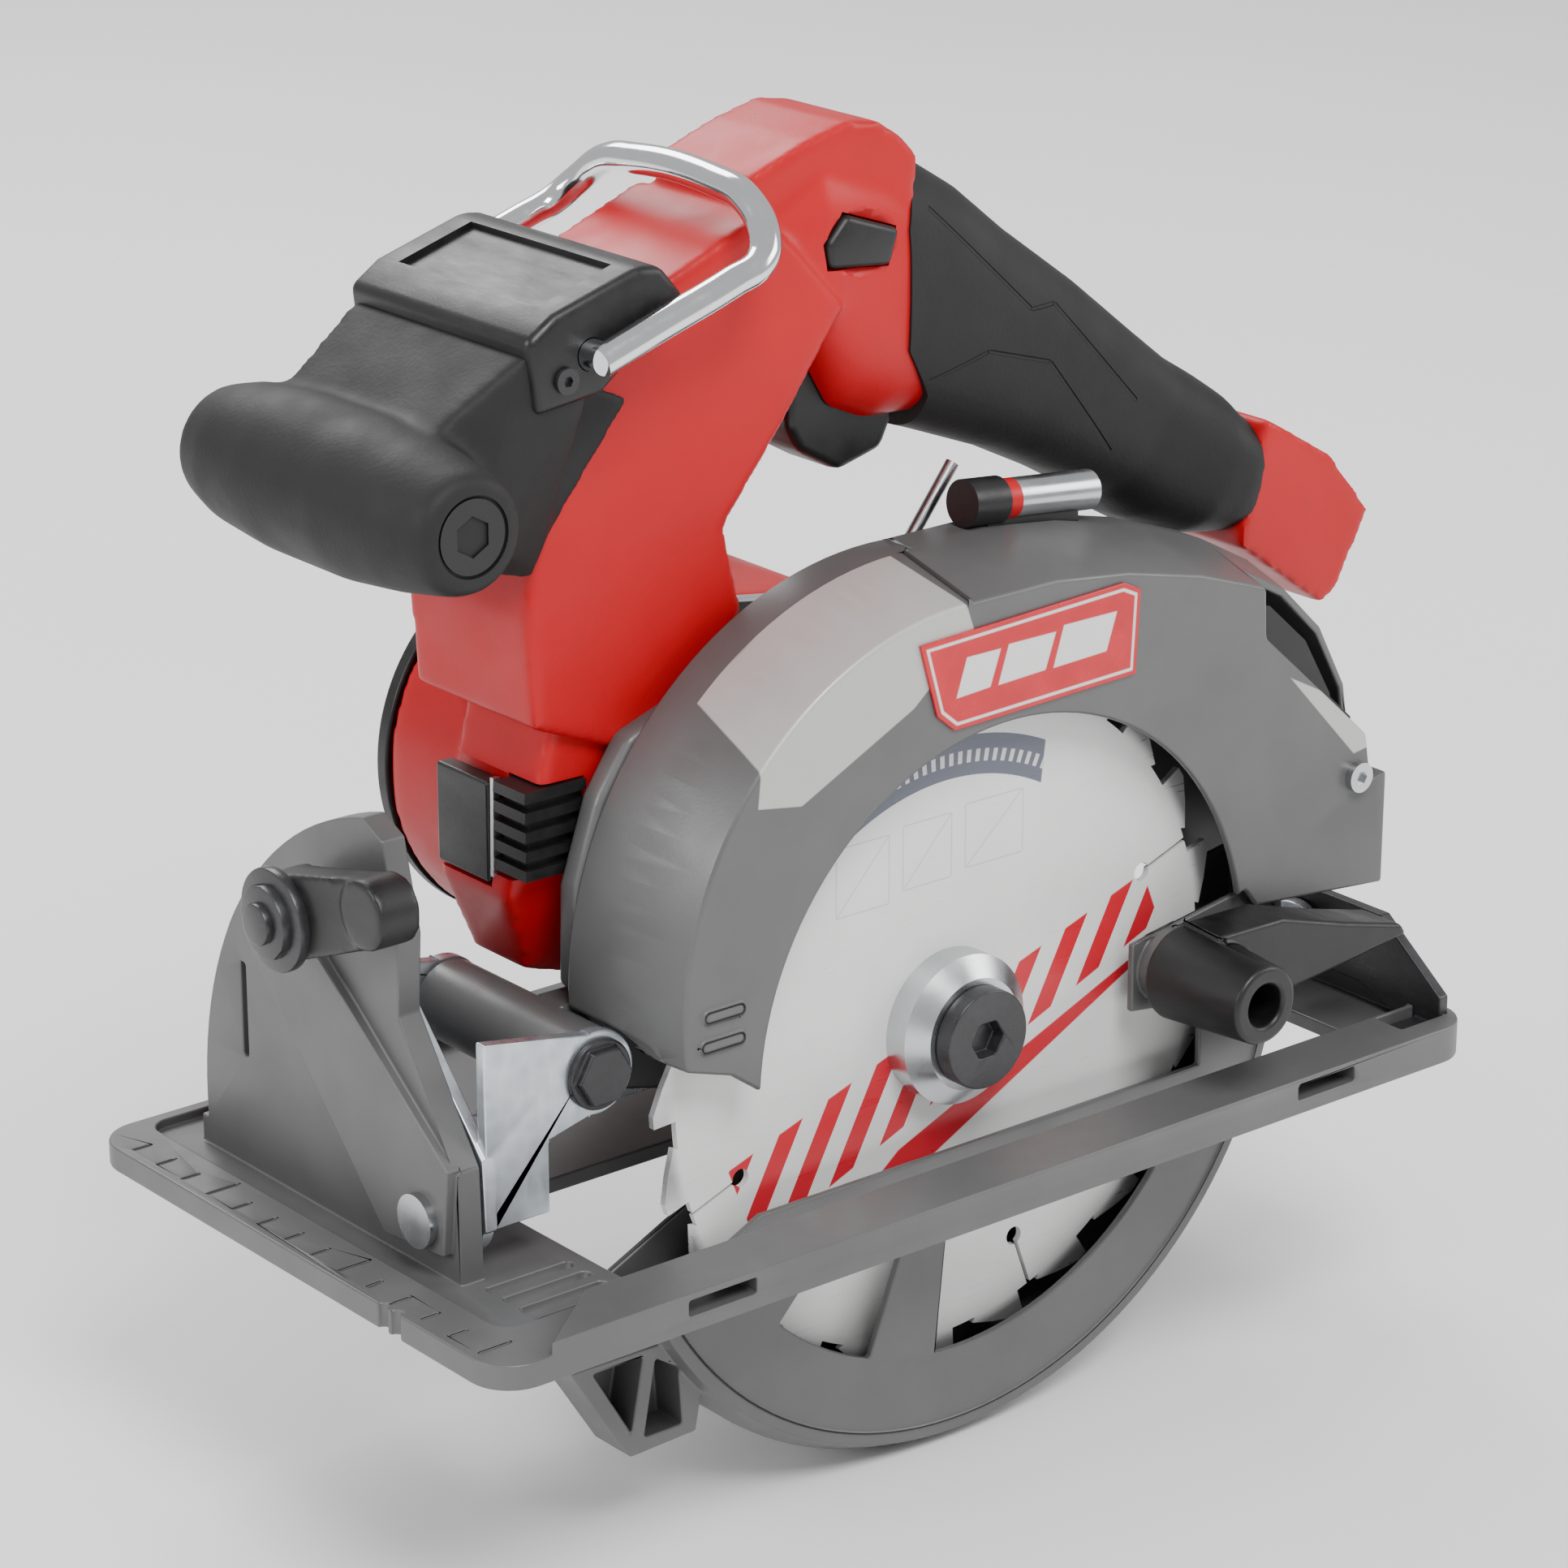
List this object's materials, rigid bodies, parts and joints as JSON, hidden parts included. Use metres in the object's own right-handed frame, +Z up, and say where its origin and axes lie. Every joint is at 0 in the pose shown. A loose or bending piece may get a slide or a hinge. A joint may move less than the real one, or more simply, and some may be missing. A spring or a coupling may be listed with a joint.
{
  "type": "cordless circular saw",
  "caption": "Hand-held cordless circular saw with a blade on the left, a swinging lower guard, depth and bevel setting, rear trigger handle, front grip and folding hook.",
  "frame": {"origin": "underside of the shoe, below the blade arbor and in the middle of the blade", "axes": "+X to the rear of the saw, along the cut; +Y to the motor side, along the arbor; +Z up"},
  "size_m": [0.3056, 0.1587, 0.2977],
  "materials": {
    "magnesium": "fine satin casting paint",
    "black_steel": "black oxide",
    "bright_steel": "bright turned steel",
    "plated_steel": "zinc plated sheet",
    "red_shell": "lightly textured",
    "black_plastic": "fine texture",
    "soft_cover": "soft moulded grip",
    "chrome_wire": "polished",
    "coated_blade": "pale non-stick coating with bare teeth",
    "cast_plate": "machined casting",
    "laminations": "stacked laminations",
    "copper": "enamelled copper wire",
    "board": "lacquered circuit board"
  },
  "bodies": {
    "shoe_assembly": {"shoe": "magnesium", "rear_bracket": "black_steel", "bevel_rivets": "bright_steel", "bevel_bolt": "bright_steel"},
    "bevel_clamp": {"bevel_lever": "black_plastic"},
    "tilt_frame": {"tilt_bracket": "plated_steel", "depth_quadrant": "plated_steel", "pivot_bolt": "black_steel"},
    "rotor": {"rotor_shaft": "bright_steel", "rotor_core": "laminations", "cooling_fan": "black_plastic", "motor_pinion": "bright_steel"},
    "blade_spindle": {"spindle": "bright_steel", "spindle_gear": "bright_steel", "inner_flange": "bright_steel", "saw_blade": "coated_blade", "outer_flange": "bright_steel", "blade_bolt": "black_steel"},
    "blade_guard": {"lower_guard": "magnesium", "guard_lever": "black_plastic", "lever_rivets": "bright_steel"},
    "switch_trigger": {"trigger": "black_plastic"},
    "lock_off": {"lock_off_button": "black_plastic"},
    "spindle_stop": {"spindle_lock": "black_plastic"},
    "folding_hook": {"hang_hook": "chrome_wire"},
    "depth_clamp": {"depth_lever": "black_plastic"},
    "saw_unit": {"upper_guard": "magnesium", "guard_screws": "bright_steel", "badge_plate": "red_shell", "gear_case": "magnesium", "bearing_plate": "cast_plate", "motor_housing": "red_shell", "motor_cap": "black_plastic", "cap_screws": "black_steel", "handle_left": "red_shell", "handle_right": "red_shell", "handle_screws": "black_steel", "grip_cover": "soft_cover", "front_grip": "soft_cover", "grip_plug": "black_plastic", "hook_block": "black_plastic", "hook_screws": "black_steel", "trigger_switch": "black_plastic", "control_board": "board", "terminal_block": "black_plastic", "stator": "laminations", "windings": "copper", "motor_bearings": "bright_steel", "spindle_bearings": "bright_steel", "guard_circlip": "bright_steel", "guard_spring": "bright_steel", "front_louvre": "black_plastic", "depth_lock_bolt": "bright_steel", "hex_key": "bright_steel", "key_clip": "black_plastic", "store_knob": "black_plastic", "store_ring": "red_shell", "store_barrel": "bright_steel", "dust_port": "black_plastic"}
  },
  "joints": [
    {"name": "bevel_tilt", "type": "hinge", "parent": "shoe_assembly", "child": "tilt_frame", "pos_m": [0, 0.0158, 0.0161], "axis": [1, 0, 0], "range_deg": [0, 14]},
    {"name": "depth_swing", "type": "hinge", "parent": "tilt_frame", "child": "saw_unit", "pos_m": [-0.092, 0, 0.042], "axis": [0, -1, 0], "range_deg": [0, 30]},
    {"name": "blade_spin", "type": "hinge", "parent": "saw_unit", "child": "blade_spindle", "pos_m": [0, 0, 0.0318], "axis": [0, 1, 0], "continuous": true},
    {"name": "rotor_spin", "type": "hinge", "parent": "saw_unit", "child": "rotor", "pos_m": [-0.0145, 0, 0.05692], "axis": [0, 1, 0], "continuous": true},
    {"name": "lower_guard_swing", "type": "hinge", "parent": "saw_unit", "child": "blade_guard", "pos_m": [0, 0, 0.0318], "axis": [0, -1, 0], "range_deg": [0, 92], "stiffness_Nm_per_rad": 0.3, "springref_deg": -45.84},
    {"name": "trigger_pull", "type": "slide", "parent": "saw_unit", "child": "switch_trigger", "axis": [0.4226, 0, 0.9063], "range_m": [0, 0.006], "stiffness_N_per_m": 600, "springref_m": -0.003},
    {"name": "lock_off_slide", "type": "slide", "parent": "saw_unit", "child": "lock_off", "axis": [0, 1, 0], "range_m": [-0.0022, 0.0022], "stiffness_N_per_m": 500},
    {"name": "spindle_lock_press", "type": "slide", "parent": "saw_unit", "child": "spindle_stop", "axis": [1, 0, 0], "range_m": [0, 0.002], "stiffness_N_per_m": 500, "springref_m": -0.001},
    {"name": "hook_fold", "type": "hinge", "parent": "saw_unit", "child": "folding_hook", "pos_m": [-0.083, 0, 0.195], "axis": [0, -1, 0], "range_deg": [0, 110]},
    {"name": "depth_lever_turn", "type": "hinge", "parent": "saw_unit", "child": "depth_clamp", "pos_m": [0.05643, 0, 0.05499], "axis": [0, -1, 0], "range_deg": [0, 45]},
    {"name": "bevel_lever_turn", "type": "hinge", "parent": "shoe_assembly", "child": "bevel_clamp", "pos_m": [0, 0.04819, 0.07702], "axis": [1, 0, 0], "range_deg": [-50, 0]}
  ],
  "couplings": [
    {"joint": "rotor_spin", "follows": "blade_spin", "ratio": -4.8}
  ]
}
